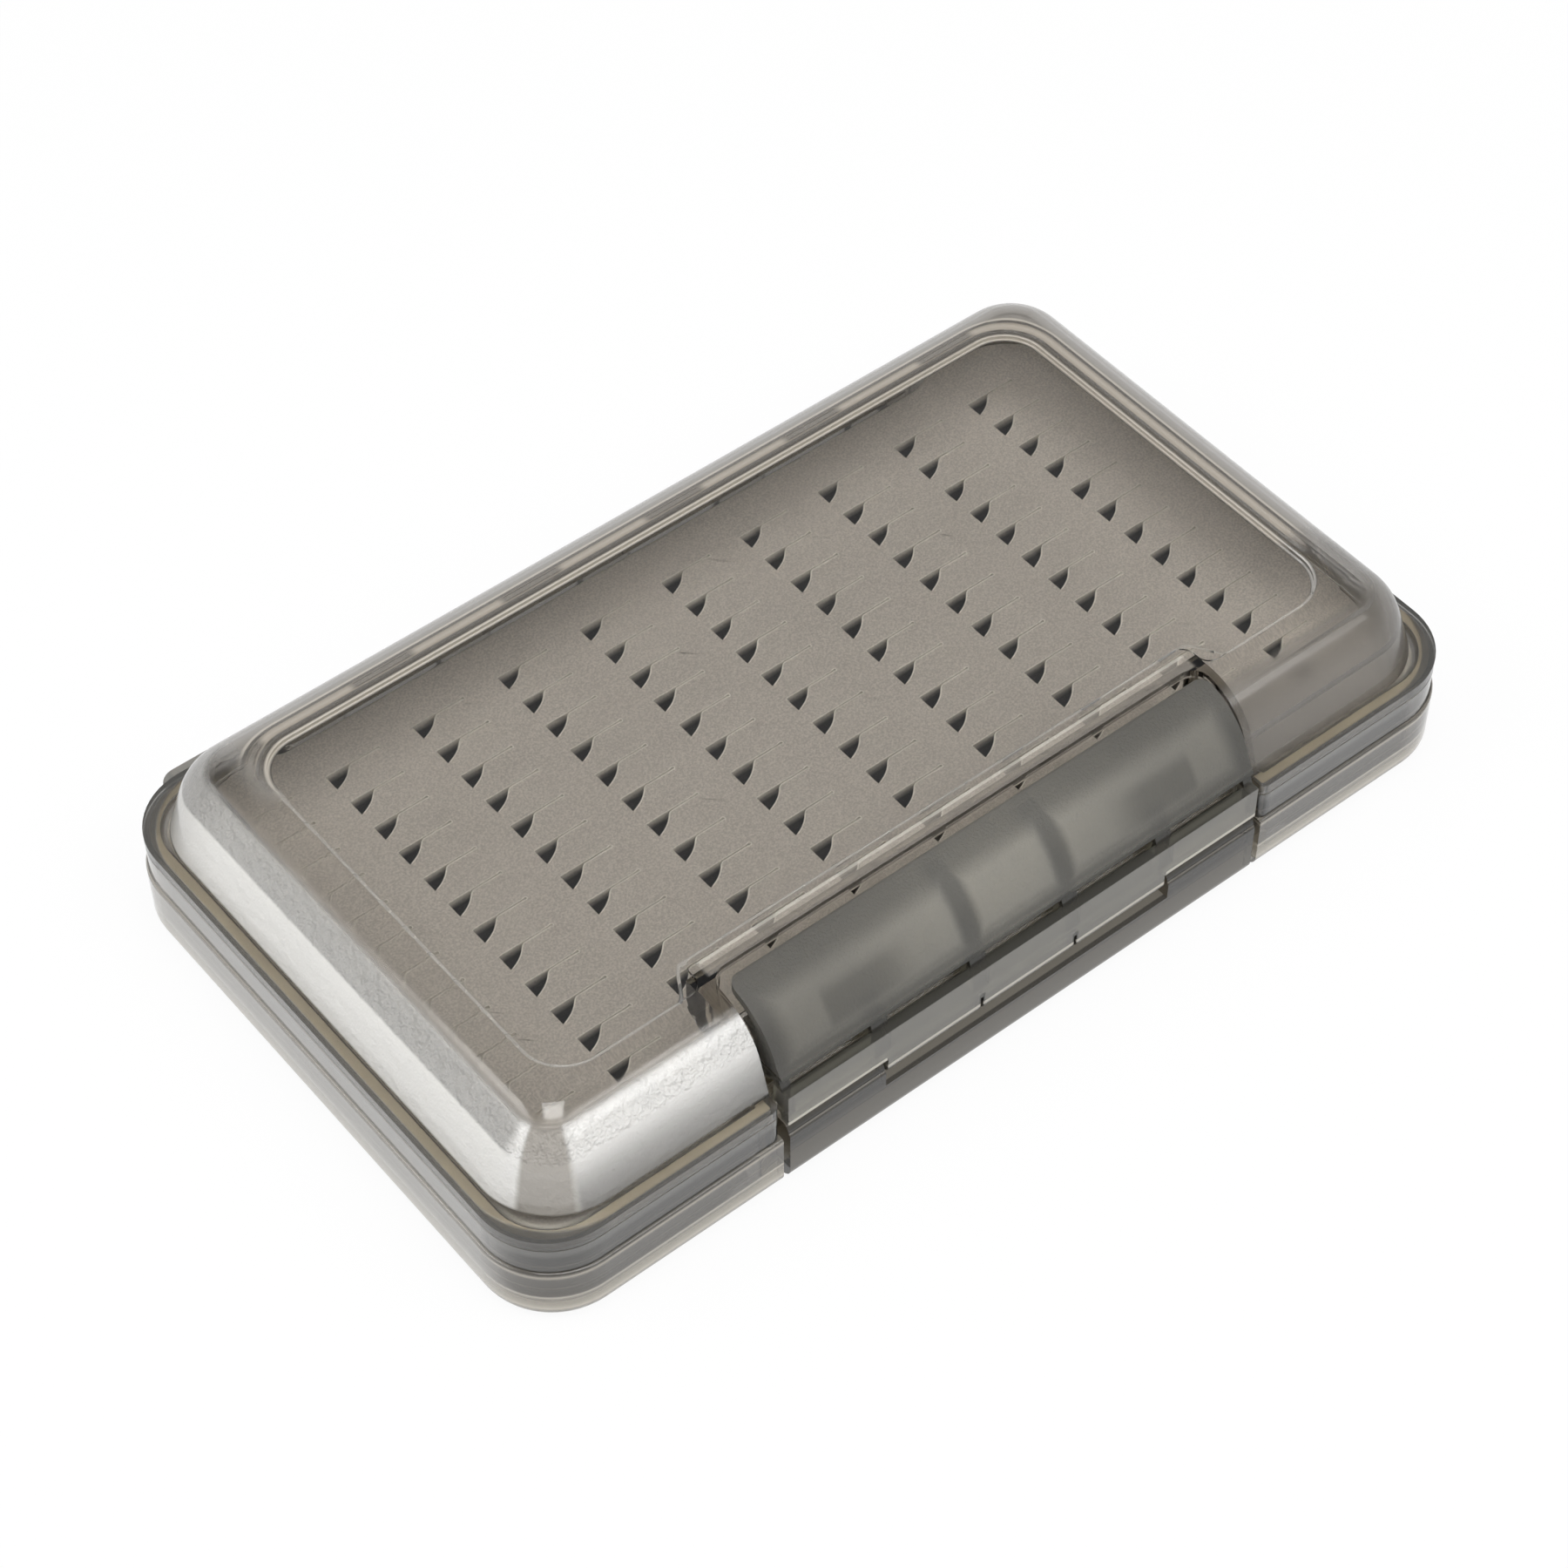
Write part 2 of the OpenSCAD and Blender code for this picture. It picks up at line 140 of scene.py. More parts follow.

# painted highlight lines and dark lines of painted shade in bands on the lid's far shoulders, as shares of a
# span in millimetres that starts inside the recess
FAR_START = 1.0
FAR_SPAN = 8.0
FAR_LIGHT_AND_SHADE_BANDS = (
    (0.07, (0.07, 0.063, 0.053)), (0.115, (0.72, 0.66, 0.56)), (0.145, (0.62, 0.56, 0.47)),
    (0.18, (0.10, 0.09, 0.075)), (0.275, (0.13, 0.117, 0.098)), (0.31, (0.50, 0.445, 0.37)),
    (0.44, (0.44, 0.39, 0.32)), (0.48, (0.09, 0.081, 0.068)), (0.52, (0.10, 0.09, 0.075)),
    (0.545, (0.62, 0.57, 0.49)), (0.565, (0.60, 0.55, 0.47)), (0.60, (0.27, 0.25, 0.22)),
)

# bands on the tray's walls, as shares of the height in millimetres; the thin pale lines among them are
# painted highlights
TRAY_SPAN = 14.0
TRAY_BANDS_AND_HIGHLIGHTS = (
    (0.0, (0.07, 0.066, 0.06)), (0.12, (0.08, 0.075, 0.068)), (0.15, (0.66, 0.62, 0.54)),
    (0.20, (0.42, 0.39, 0.33)), (0.29, (0.26, 0.24, 0.20)), (0.32, (0.66, 0.62, 0.54)),
    (0.345, (0.06, 0.057, 0.05)), (0.58, (0.15, 0.14, 0.125)), (0.62, (0.62, 0.57, 0.48)),
    (0.65, (0.05, 0.05, 0.048)), (0.86, (0.055, 0.055, 0.055)), (0.92, (0.20, 0.20, 0.19)),
)
TRAY_END_TONE = (0.84, 0.84, 0.83, 1.0)
TRAY_BACK_TONE = (0.34, 0.34, 0.325, 1.0)

# mesh work, in metres and radians
MERGE = 2e-6
LEVEL = 2e-5
FLAT = 0.004
SHARP = math.radians(32.0)

# the photograph's camera: place in millimetres, view direction, right-hand direction and focal length
CAMERA_PLACE = (-202.82, -249.87, 382.78)
CAMERA_FORWARD = (0.4051, 0.5063, -0.7613)
CAMERA_RIGHT = (0.7778, -0.6285, -0.0041)
FOCAL_PIXELS = 4366.2
PICTURE_PIXELS = 1800.0
SENSOR_MM = 36.0


class Wire:
    """A socket that takes part in Python arithmetic; each operator adds one Math node."""

    def __init__(self, bench, socket):
        self.bench = bench
        self.socket = socket

    def _join(self, operation, a, b=None):
        values = {0: a} if b is None else {0: a, 1: b}
        return self.bench.add("ShaderNodeMath", {"operation": operation}, values)

    def __add__(self, other):
        return self._join("ADD", self, other)

    def __radd__(self, other):
        return self._join("ADD", other, self)

    def __sub__(self, other):
        return self._join("SUBTRACT", self, other)

    def __rsub__(self, other):
        return self._join("SUBTRACT", other, self)

    def __mul__(self, other):
        return self._join("MULTIPLY", self, other)

    def __rmul__(self, other):
        return self._join("MULTIPLY", other, self)

    def __truediv__(self, other):
        return self._join("DIVIDE", self, other)

    def __abs__(self):
        return self._join("ABSOLUTE", self)

    def most(self, other):
        return self._join("MAXIMUM", self, other)

    def least(self, other):
        return self._join("MINIMUM", self, other)

    def root(self):
        return self._join("SQRT", self)


class Bench:
    """A node tree that new nodes are added to: a new material's, emptied, or the one given."""

    def __init__(self, name, tree=None):
        if tree is not None:
            self.tree = tree
            return
        self.material = bpy.data.materials.new(name)
        self.material.use_nodes = True
        self.tree = self.material.node_tree
        self.tree.nodes.clear()
        self.out = self.tree.nodes.new("ShaderNodeOutputMaterial")

    def node(self, kind, settings=None, values=None):
        """Adds a node, sets its settings first and then its sockets' values or links."""
        made = self.tree.nodes.new(kind)
        for key, value in (settings or {}).items():
            if key == "stops":
                ramp = made.color_ramp
                while len(ramp.elements) < len(value):
                    ramp.elements.new(0.5)
                for element, (place, colour) in zip(ramp.elements, value):
                    element.position = place
                    element.color = colour
            else:
                setattr(made, key, value)
        for key, value in (values or {}).items():
            if isinstance(value, Wire):
                self.tree.links.new(value.socket, made.inputs[key])
            else:
                made.inputs[key].default_value = value
        return made

    def add(self, kind, settings=None, values=None, output=0):
        return Wire(self, self.node(kind, settings, values).outputs[output])

    def place(self):
        """Object coordinates in millimetres, as three wires."""
        here = self.add("ShaderNodeTexCoord", output="Object")
        scaled = self.add("ShaderNodeVectorMath", {"operation": "SCALE"}, {0: here, "Scale": 1 / MM})
        split = self.node("ShaderNodeSeparateXYZ", None, {0: scaled})
        return scaled, [Wire(self, split.outputs[k]) for k in range(3)]

    def step(self, value, low, high):
        """Rises smoothly from 0 at low to 1 at high."""
        return self.add(
            "ShaderNodeMapRange",
            {"interpolation_type": "SMOOTHSTEP", "clamp": True},
            {0: value, 1: low, 2: high, 3: 0.0, 4: 1.0},
        )

    def hump(self, value, low, high, down, end):
        """Rises smoothly from 0 at low to 1 at high, and falls again from down to end."""
        return self.step(value, low, high) * (1.0 - self.step(value, down, end))

    def noise(self, where, scale, detail=3.0, rough=0.5):
        return self.add(
            "ShaderNodeTexNoise",
            {"noise_dimensions": "3D"},
            {"Vector": where, "Scale": scale, "Detail": detail, "Roughness": rough},
        )

    def ramp(self, stops, value):
        """A colour looked up at value in stops, which are places from 0 to 1 and their colours."""
        stops = [(place, rgba(colour)) for place, colour in stops]
        return self.add("ShaderNodeValToRGB", {"stops": stops}, {0: value})

    def blend(self, amount, a, b):
        """A colour mixed from a to b."""
        made = self.node("ShaderNodeMix", {"data_type": "RGBA"}, {0: amount, 6: a, 7: b})
        return Wire(self, made.outputs[2])

    def bump(self, height, strength, distance):
        values = {"Height": height, "Strength": strength, "Distance": distance}
        return self.add("ShaderNodeBump", None, values)

    def mix_skins(self, amount, a, b):
        """A shader mixed from a to b."""
        made = self.node("ShaderNodeMixShader", None, {0: amount})
        self.tree.links.new(a.outputs[0], made.inputs[1])
        self.tree.links.new(b.outputs[0], made.inputs[2])
        return made

    def finish(self, surface, volume=None):
        self.tree.links.new(surface.outputs[0], self.out.inputs["Surface"])
        if volume is not None:
            self.tree.links.new(volume.outputs[0], self.out.inputs["Volume"])
        return self.material


def rgba(colour, share=1.0):
    """A colour made darker or lighter by share, with no part of it above 1."""
    return (*(min(1.0, part * share) for part in colour), 1.0)


def reach_past(x, y, half_l, half_w):
    """Distance outside a rectangle about the origin, in millimetres, and 0 inside it."""
    across = (abs(x) - half_l).most(0.0)
    along = (abs(y) - half_w).most(0.0)
    return (across * across + along * along).root()


class CaseLook(PropertyGroup):
    """Colours and finishes of the moulded pieces."""

    body_tint: FloatVectorProperty(
        name="Body tint", description="Colour that the clear smoke plastic lets through",
        subtype="COLOR", size=3, min=0.0, max=1.0, default=(0.56, 0.51, 0.43))
    body_density: FloatProperty(
        name="Body density", description="How fast the body plastic darkens with thickness, per metre",
        default=190.0, min=0.0, max=2000.0)
    tray_density: FloatProperty(
        name="Tray density", description="How fast the thicker tray walls darken with thickness, per metre",
        default=190.0, min=0.0, max=2000.0)
    wall_frost: FloatProperty(
        name="Wall frost", description="Share of milky scatter on the lid's shoulders and walls",
        subtype="FACTOR", default=0.6, min=0.0, max=1.0)
    frost_colour: FloatVectorProperty(
        name="Frost colour", description="Colour of the milky scatter on the lid's walls",
        subtype="COLOR", size=3, min=0.0, max=1.0, default=(0.94, 0.93, 0.89))
    frost_through: FloatVectorProperty(
        name="Underside colour", description="Colour that the tray's frosted underside lets through",
        subtype="COLOR", size=3, min=0.0, max=1.0, default=(0.92, 0.90, 0.82))
    latch_tint: FloatVectorProperty(
        name="Latch tint", description="Colour that the latch plastic lets through",
        subtype="COLOR", size=3, min=0.0, max=1.0, default=(0.46, 0.46, 0.41))
    latch_skin: FloatVectorProperty(
        name="Latch skin", description="Colour of the latch's surface",
        subtype="COLOR", size=3, min=0.0, max=1.0, default=(0.68, 0.655, 0.585))
    latch_density: FloatProperty(
        name="Latch density", description="How fast the latch plastic darkens with thickness, per metre",
        default=540.0, min=0.0, max=3000.0)
    gloss: FloatProperty(
        name="Gloss", description="Roughness of the polished outer faces",
        subtype="FACTOR", default=0.03, min=0.0, max=1.0)
    frost: FloatProperty(
        name="Frost", description="Roughness of the frosted inner face of the latch flap",
        subtype="FACTOR", default=0.38, min=0.0, max=1.0)
    seal_colour: FloatVectorProperty(
        name="Seal colour", description="Colour of the silicone seal",
        subtype="COLOR", size=3, min=0.0, max=1.0, default=(0.43, 0.37, 0.26))
    steel_colour: FloatVectorProperty(
        name="Steel colour", description="Colour of the pins",
        subtype="COLOR", size=3, min=0.0, max=1.0, default=(0.62, 0.62, 0.64))


class FoamLook(PropertyGroup):
    """Sizes and colours of the slit foam."""

    columns: IntProperty(name="Columns", description="Slits along the length", default=10, min=1, max=14)
    rows: IntProperty(name="Rows", description="Slits from front to back", default=13, min=1, max=18)
    pitch_x: FloatProperty(
        name="Column pitch", description="Distance between slit columns",
        subtype="DISTANCE", unit="LENGTH", default=0.0135, min=0.01, max=0.02)
    pitch_y: FloatProperty(
        name="Row pitch", description="Distance between slit rows",
        subtype="DISTANCE", unit="LENGTH", default=0.00533, min=0.004, max=0.008)
    colour: FloatVectorProperty(
        name="Foam colour", description="Colour of the foam's skin",
        subtype="COLOR", size=3, min=0.0, max=1.0, default=(0.655, 0.606, 0.540))
    side_colour: FloatVectorProperty(
        name="Side colour", description="Colour of the foam's cut sides",
        subtype="COLOR", size=3, min=0.0, max=1.0, default=(0.86, 0.83, 0.74))
    # painted shade deep in a slit
    pit_shade_colour: FloatVectorProperty(
        name="Pit colour", description="Colour of the foam deep in a slit",
        subtype="COLOR", size=3, min=0.0, max=1.0, default=(0.045, 0.042, 0.04))


class StageLook(PropertyGroup):
    """Floor, lamps and world."""

    floor_size: FloatProperty(
        name="Floor size", description="Width of the floor",
        subtype="DISTANCE", unit="LENGTH", default=6.0, min=1.0, max=20.0)
    world_level: FloatProperty(
        name="World level", description="Strength of the even light from all round",
        default=1.0, min=0.0, max=5.0)
    key_power: FloatProperty(
        name="Key power", description="Power of the large soft lamp",
        subtype="POWER", unit="POWER", default=3.2, min=0.0, max=500.0)


def dome_depth(reach, z, skin):
    """Below 0 outside the dome's middle surface and above 0 inside it, in millimetres.

    The distance reach outside the flat top's rounded edge and the height h over the arc centre give
    skin - sqrt(reach^2 + h^2) over the centre, and skin + lean * depth - reach under it.
    """
    h = z - SHOULDER_Z
    over = h.most(0.0)
    under = (0.0 - h).most(0.0)
    return skin + under * LEAN - (reach * reach + over * over).root()


def clear_skin(bench, roughness, normal, base=(1.0, 1.0, 1.0), clear=1.0):
    """The refracting skin of clear moulded plastic."""
    return bench.node("ShaderNodeBsdfPrincipled", None, {
        "Base Color": rgba(base), "Transmission Weight": clear, "IOR": 1.5,
        "Roughness": roughness, "Normal": normal})


def clear_plastic(bench, tint, density, skin):
    """A skin over a tinted, absorbing body."""
    body = bench.node("ShaderNodeVolumeAbsorption", None, {"Color": rgba(tint), "Density": density})
    return bench.finish(skin, body)


def recess_distance(bench, x, y):
    """Distance outside the outline of the lid's top recess, in millimetres, below 0 inside it."""
    front = RECESS_FRONT + bench.step(abs(x), 40.4, 44.2) * RECESS_STEP
    across = (abs(x) - (RECESS_HALF_L - RECESS_R)).most(0.0)
    along = (y - (RECESS_BACK - RECESS_R)).most(0.0 - y - (front - RECESS_R)).most(0.0)
    return (across * across + along * along).root() - RECESS_R


def lid_zones(bench, x, y, z):
    """The lid's distances in millimetres and its zones, which are masks from 0 to 1."""
    zone = SimpleNamespace()
    zone.reach = reach_past(x, y, RIM_HALF_L - SHOULDER_IN, RIM_HALF_W - SHOULDER_IN)
    zone.edge = recess_distance(bench, x, y)
    # the sides, with far for the two that are furthest from the camera; left carries painted light, pale on
    # the left side and painted shade towards the right
    zone.left = bench.step(0.0 - x, 0.0, 30.0) * (1.0 - bench.step(y, 24.0, 44.0) * 0.4)
    zone.back = bench.step(y, 22.0, 27.0) * bench.step(x, -66.0, -61.0)
    zone.far = zone.back.most(bench.step(x, 54.0, 58.0) * bench.step(y, -26.0, -20.0))
    # the dome's shoulder and wall, its outer face and what is left
    zone.dome = bench.step(z, DOME_LOW, DOME_LOW + 0.5)
    zone.wall = bench.step(zone.reach - zone.left * 1.4, 2.4, 4.0) * zone.dome
    zone.outer = bench.step(dome_depth(zone.reach, z, SHOULDER_R - 0.9), -0.25, 0.25)
    zone.inner = 1.0 - zone.outer
    zone.low = bench.step(zone.reach, 7.45, 7.75)
    zone.flange = bench.step(zone.reach, 11.6, 11.9) * (1.0 - bench.step(z, DOME_LOW + 0.05, DOME_LOW + 0.4))
    # the recess's rounded edge, the bead outside it and the painted highlight along it
    top = bench.step(z, TOP_LOW, TOP_LOW + 0.4)
    zone.slope = bench.step(zone.edge, -0.45, 0.45) * top
    zone.bead = bench.hump(zone.edge, 0.8, 1.5, 1.7, 2.4) * top
    zone.near = bench.hump(zone.edge, -0.5, -0.1, 0.1, 0.5) * top
    # the land behind the notch and the painted highlight along its crease
    land_ends = 1.0 - bench.step(abs(x), 38.6, 39.4)
    zone.land = bench.hump(y, -31.0, -30.7, -28.9, -28.3) * top * land_ends
    zone.crease = bench.hump(y, -28.9, -28.7, -28.4, -28.2) * land_ends * top
    # the front shoulder, and the wedge and the glint where the front corner turns into the side
    round_front = (0.0 - y - (RIM_HALF_W - SHOULDER_IN)).most(0.0) / zone.reach.most(0.001)
    zone.front = bench.step(round_front, 0.92, 0.97)
    zone.wedge = bench.step(round_front, 0.40, 0.50) * (1.0 - zone.front)
    zone.glint = bench.hump(round_front, 0.08, 0.34, 0.40, 0.50) * (1.0 - bench.step(zone.reach, 8.0, 10.5))
    return zone


def far_bands(bench, x, zone):
    """Painted highlights and painted shade in bands along the far shoulders, with a dark mark of painted
    shadow over each knuckle of the hinge.
    """
    bands = bench.ramp(FAR_LIGHT_AND_SHADE_BANDS, (zone.edge + FAR_START) / FAR_SPAN)
    turn = x * (2 * math.pi / KNUCKLE_PITCH)
    wave = bench.add("ShaderNodeMath", {"operation": "SINE"}, {0: turn})
    knuckle_shadow = zone.back * bench.step(wave, 0.1, 0.5) * bench.hump(zone.edge, 1.3, 1.6, 2.5, 2.8)
    return bench.blend(knuckle_shadow * 0.75, bands, KNUCKLE_SHADOW_TONE)


def lid_tone(bench, look, x, zone):
    """Colour of the milky layer, with painted light: pale on the left and smoke on the right as painted
    shade, painted glints, painted highlights along the recess edge and the crease, and banded on the far
    sides with painted highlights and shade.
    """
    tone = bench.blend(zone.low, rgba(look.frost_colour, 0.52), rgba(look.frost_colour))
    # painted highlight high on the front shoulder, smoke below it
    front_glint_tone = bench.blend(bench.step(zone.reach, 7.2, 9.8), GLINT, FRONT_SMOKE)
    tone = bench.blend(zone.front, tone, front_glint_tone)
    tone = bench.blend(zone.glint, tone, GLINT)
    tone = bench.blend(zone.wedge, tone, CORNER_SMOKE)
    # painted shade: smoke on the right, the paler painted-light tone on the left
    tone = bench.blend(zone.left, PAINTED_SHADE_SMOKE, tone)
    tone = bench.blend(zone.near, tone, RECESS_HIGHLIGHT_TONE)
    tone = bench.blend(zone.land, tone, LAND_TONE)
    tone = bench.blend(zone.crease, tone, CREASE_HIGHLIGHT_TONE)
    tone = bench.blend(zone.far, tone, far_bands(bench, x, zone))
    return bench.blend(zone.flange, tone, FLANGE_TONE)


def lid_plastic(look):
    """Polished flat top with a rounded recess edge; shoulders and walls are pebbled and frosted."""
    bench = Bench("smoke_lid_plastic")
    where, (x, y, z) = bench.place()
    zone = lid_zones(bench, x, y, z)
    soft = bench.noise(where, 0.16, 2.0)
    smooth = bench.bump(soft * 0.01 + zone.slope * 0.6 + zone.bead * zone.far * 0.5, 1.0, 0.001)
    shoulder = bench.step(zone.reach, 2.6, 4.6) * (1.0 - zone.far)
    skin = clear_skin(bench, look.gloss + zone.outer * zone.wall * 0.12 + shoulder * 0.2, smooth)
    pebbles = bench.noise(where, 0.75, 2.0) + bench.noise(where, 3.0, 2.0) * 0.25 - 0.62
    pebbles = pebbles * (1.0 - zone.far * 0.9) * (1.6 - zone.low * 1.2)
    milky = bench.node("ShaderNodeBsdfPrincipled", None, {
        "Base Color": lid_tone(bench, look, x, zone), "Roughness": 0.42,
        "Normal": bench.bump(pebbles + zone.slope * 0.4, 0.8, 0.0008),
        "Coat Weight": 1.0, "Coat Roughness": 0.12})
    shell = zone.inner * zone.dome * zone.far * bench.step(zone.edge, -0.6, -0.5)
    # a larger share of the milky layer on the left, as painted light
    amount = zone.wall * zone.inner * (look.wall_frost - 0.1 + zone.left * 0.24)
    amount = amount.most(zone.near * 0.2).most(zone.land * 0.4).most(zone.crease * 0.45)
    amount = amount.most(shell * 0.66).most(zone.flange * 0.4)
    return clear_plastic(bench, look.body_tint, look.body_density, bench.mix_skins(amount, skin, milky))


def tray_plastic(look):
    """The lid's plastic with flow marks; its front plate is darker and its underside is frosted."""
    bench = Bench("smoke_tray_plastic")
    where, (x, y, z) = bench.place()
    soft = bench.noise(where, 0.12, 2.0)
    fine = bench.noise(where, 2.2, 2.0)
    floor = 1.0 - bench.step(z, 0.05, 0.4)
    wall = 1.0 - floor
    plate = bench.step(0.0 - y, 42.1, 42.3) * (1.0 - bench.step(abs(x), 38.2, 38.6))
    normal = bench.bump(soft * 0.25 + floor * fine, 0.3, 0.0001)
    pale = clear_skin(bench, look.gloss + 0.02 + floor * 0.25, normal)
    dark = clear_skin(bench, look.gloss + 0.05, normal, base=(0.13, 0.128, 0.122), clear=0.84)
    clear = bench.mix_skins(plate, pale, dark)
    end = bench.step(0.0 - x, 62.0, 74.0) * bench.step(y, -40.0, -30.0)
    # the walls' bands, with painted highlight lines
    bands = bench.blend(end * 0.6, bench.ramp(TRAY_BANDS_AND_HIGHLIGHTS, z / TRAY_SPAN), TRAY_END_TONE)
    tone = bench.blend(bench.step(y, 44.0, 44.6), bands, TRAY_BACK_TONE)
    haze = bench.node("ShaderNodeBsdfPrincipled", None, {
        "Base Color": tone, "Roughness": 0.3, "Normal": normal, "Coat Weight": 1.0, "Coat Roughness": 0.04})
    hazy = bench.mix_skins((0.52 - end * 0.16) * (1.0 - plate) * wall, clear, haze)
    glow = bench.node("ShaderNodeBsdfTranslucent", None, {"Color": rgba(look.frost_through)})
    skin = bench.mix_skins(floor * (1.0 - plate) * 0.42, hazy, glow)
    return clear_plastic(bench, look.body_tint, look.tray_density, skin)


def flap_colour(bench, look, where, x, z, flap):
    """The flap's colour: painted lighter in the middle, with painted shade at the rim and painted shadows of
    the ribs and the hubs.
    """
    off_centre = abs(x) + (bench.noise(where, 0.35, 3.0, 0.6) - 0.5) * 0.6
    rib_shadow = bench.hump(off_centre, 5.2, 6.8, 8.3, 9.9)
    hub_shadow = bench.hump(off_centre, 15.0, 22.0, 29.0, 30.0) * bench.hump(z, 19.5, 21.5, 24.0, 25.5)
    rim = bench.step(z, 25.6, 27.2).most(1.0 - bench.step(z, 19.0, 21.2))
    rim = rim.most(bench.step(abs(x), 34.0, 37.2))
    # painted shade at the rim and painted shadows of the ribs and hubs
    shade = (rib_shadow * 0.62).most(hub_shadow * 0.45).most(rim * 0.66) * flap
    # painted light in the middle of the flap
    middle = (1.0 - bench.step(abs(x), 2.0, 30.0)) * flap
    lit = bench.blend(middle, rgba(look.latch_skin), rgba(look.latch_skin, 1.4))
    return bench.blend(shade, lit, rgba(look.latch_skin, 0.28))


def strip_colour(bench, look, x, z, low_edge_glint):
    """Colour of the strip and its tabs: a painted highlight along the lower edge, and painted shade in the
    splits and along the upper edge.
    """
    past_split = abs(abs(x) - TAB_SPLIT)
    # painted shade in the splits between the tabs
    split = (1.0 - bench.step(past_split, 0.35, 0.6)) * (1.0 - bench.step(z, 11.4, 11.8))
    pale = bench.blend(low_edge_glint, rgba(look.latch_skin, 0.95), rgba(look.latch_skin, 1.5))
    # painted shade in the splits and along the strip's upper edge under the flap
    return bench.blend(split.most(bench.step(z, 16.2, 16.5)), pale, rgba(look.latch_skin, 0.28))


def latch_plastic(look):
    """Dark smoke plastic; the flap is sand-grained, and its ribs and hubs show as soft dark bands of painted
    shadow; the tabs' lower edges carry a painted glint.
    """
    bench = Bench("smoke_latch_plastic")
    where, (x, y, z) = bench.place()
    dy = y - FLAP_Y
    dz = z - FLAP_Z
    reach = (dy * dy + dz * dz).root()
    inner = 1.0 - bench.step(reach, FLAP_R - 0.9, FLAP_R - 0.3)
    flap = bench.step(z, 18.5, 19.1)
    frosted = inner * flap
    above = z - TAB_LOW - bench.step(abs(x), TABS_END - 0.2, TABS_END) * (STRIP_LOW - TAB_LOW)
    # where the painted glint lies along the tabs' lower edges
    low_edge_glint = bench.hump(above, 0.02, 0.14, 0.5, 0.7)
    upper = flap_colour(bench, look, where, x, z, flap)
    colour = bench.blend(flap, strip_colour(bench, look, x, z, low_edge_glint), upper)
    sand = bench.noise(where, 2.6, 3.0, 0.6)
    soft = bench.noise(where, 0.2, 2.0)
    normal = bench.bump(flap * sand * (0.6 + frosted * 0.9) + soft * 0.2, 0.9, 0.00035)
    skin = bench.node("ShaderNodeBsdfPrincipled", None, {
        "Base Color": colour, "Transmission Weight": 0.82, "IOR": 1.5, "Specular IOR Level": 0.35,
        "Roughness": look.gloss + 0.09 + flap * 0.3 + frosted * look.frost * 0.6, "Normal": normal})
    # a painted glint along the tabs' lower edges
    tab_glint_skin = bench.node("ShaderNodeBsdfPrincipled", None, {"Base Color": TAB_GLINT, "Roughness": 0.4})
    face = bench.step(0.0 - y, LATCH_FACE - 0.25, LATCH_FACE - 0.1)
    skin = bench.mix_skins(low_edge_glint * face * 0.6, skin, tab_glint_skin)
    return clear_plastic(bench, look.latch_tint, look.latch_density, skin)


def seal_silicone(look):
    """Yellowish milky silicone with a dull, slightly uneven skin."""
    bench = Bench("seal_silicone")
    where = bench.place()[0]
    cloud = bench.noise(where, 0.5)
    colour = bench.blend(cloud, rgba(look.seal_colour), rgba(look.seal_colour, 1.15))
    normal = bench.bump(bench.noise(where, 2.5, 2.0), 0.3, 0.00005)
    skin = bench.node("ShaderNodeBsdfPrincipled", None, {
        "Base Color": colour, "Roughness": 0.38 + cloud * 0.1, "Normal": normal, "IOR": 1.41})
    return bench.finish(skin)


def pin_steel(look):
    """Drawn wire: fine marks along the pin and a little stain."""
    bench = Bench("pin_steel")
    where = bench.place()[0]
    drawn = (0.15, 6.0, 6.0)
    along_pin = bench.add("ShaderNodeVectorMath", {"operation": "MULTIPLY"}, {0: where, 1: drawn})
    marks = bench.noise(along_pin, 1.0, 3.0, 0.6)
    stain = bench.step(bench.noise(where, 0.3, 2.0), 0.45, 0.7)
    colour = bench.blend(stain, rgba(look.steel_colour), rgba(look.steel_colour, 0.8))
    normal = bench.bump(marks, 0.3, 0.00003)
    skin = bench.node("ShaderNodeBsdfPrincipled", None, {
        "Base Color": colour, "Metallic": 1.0, "Roughness": 0.22 + marks * 0.15, "Normal": normal})
    return bench.finish(skin)


def adhesive_film():
    """Pale film with faint bubbles, seen only from below through the tray floor."""
    bench = Bench("adhesive_film")
    where = bench.place()[0]
    bubbles = bench.noise(where, 0.35, 3.0, 0.6)
    colour = bench.blend(bench.step(bubbles, 0.5, 0.65), (0.66, 0.63, 0.56, 1.0), (0.58, 0.55, 0.48, 1.0))
    normal = bench.bump(bubbles, 0.3, 0.0001)
    skin = bench.node("ShaderNodeBsdfPrincipled", None, {
        "Base Color": colour, "Roughness": 0.35 + bubbles * 0.2, "Normal": normal})
    return bench.finish(skin)


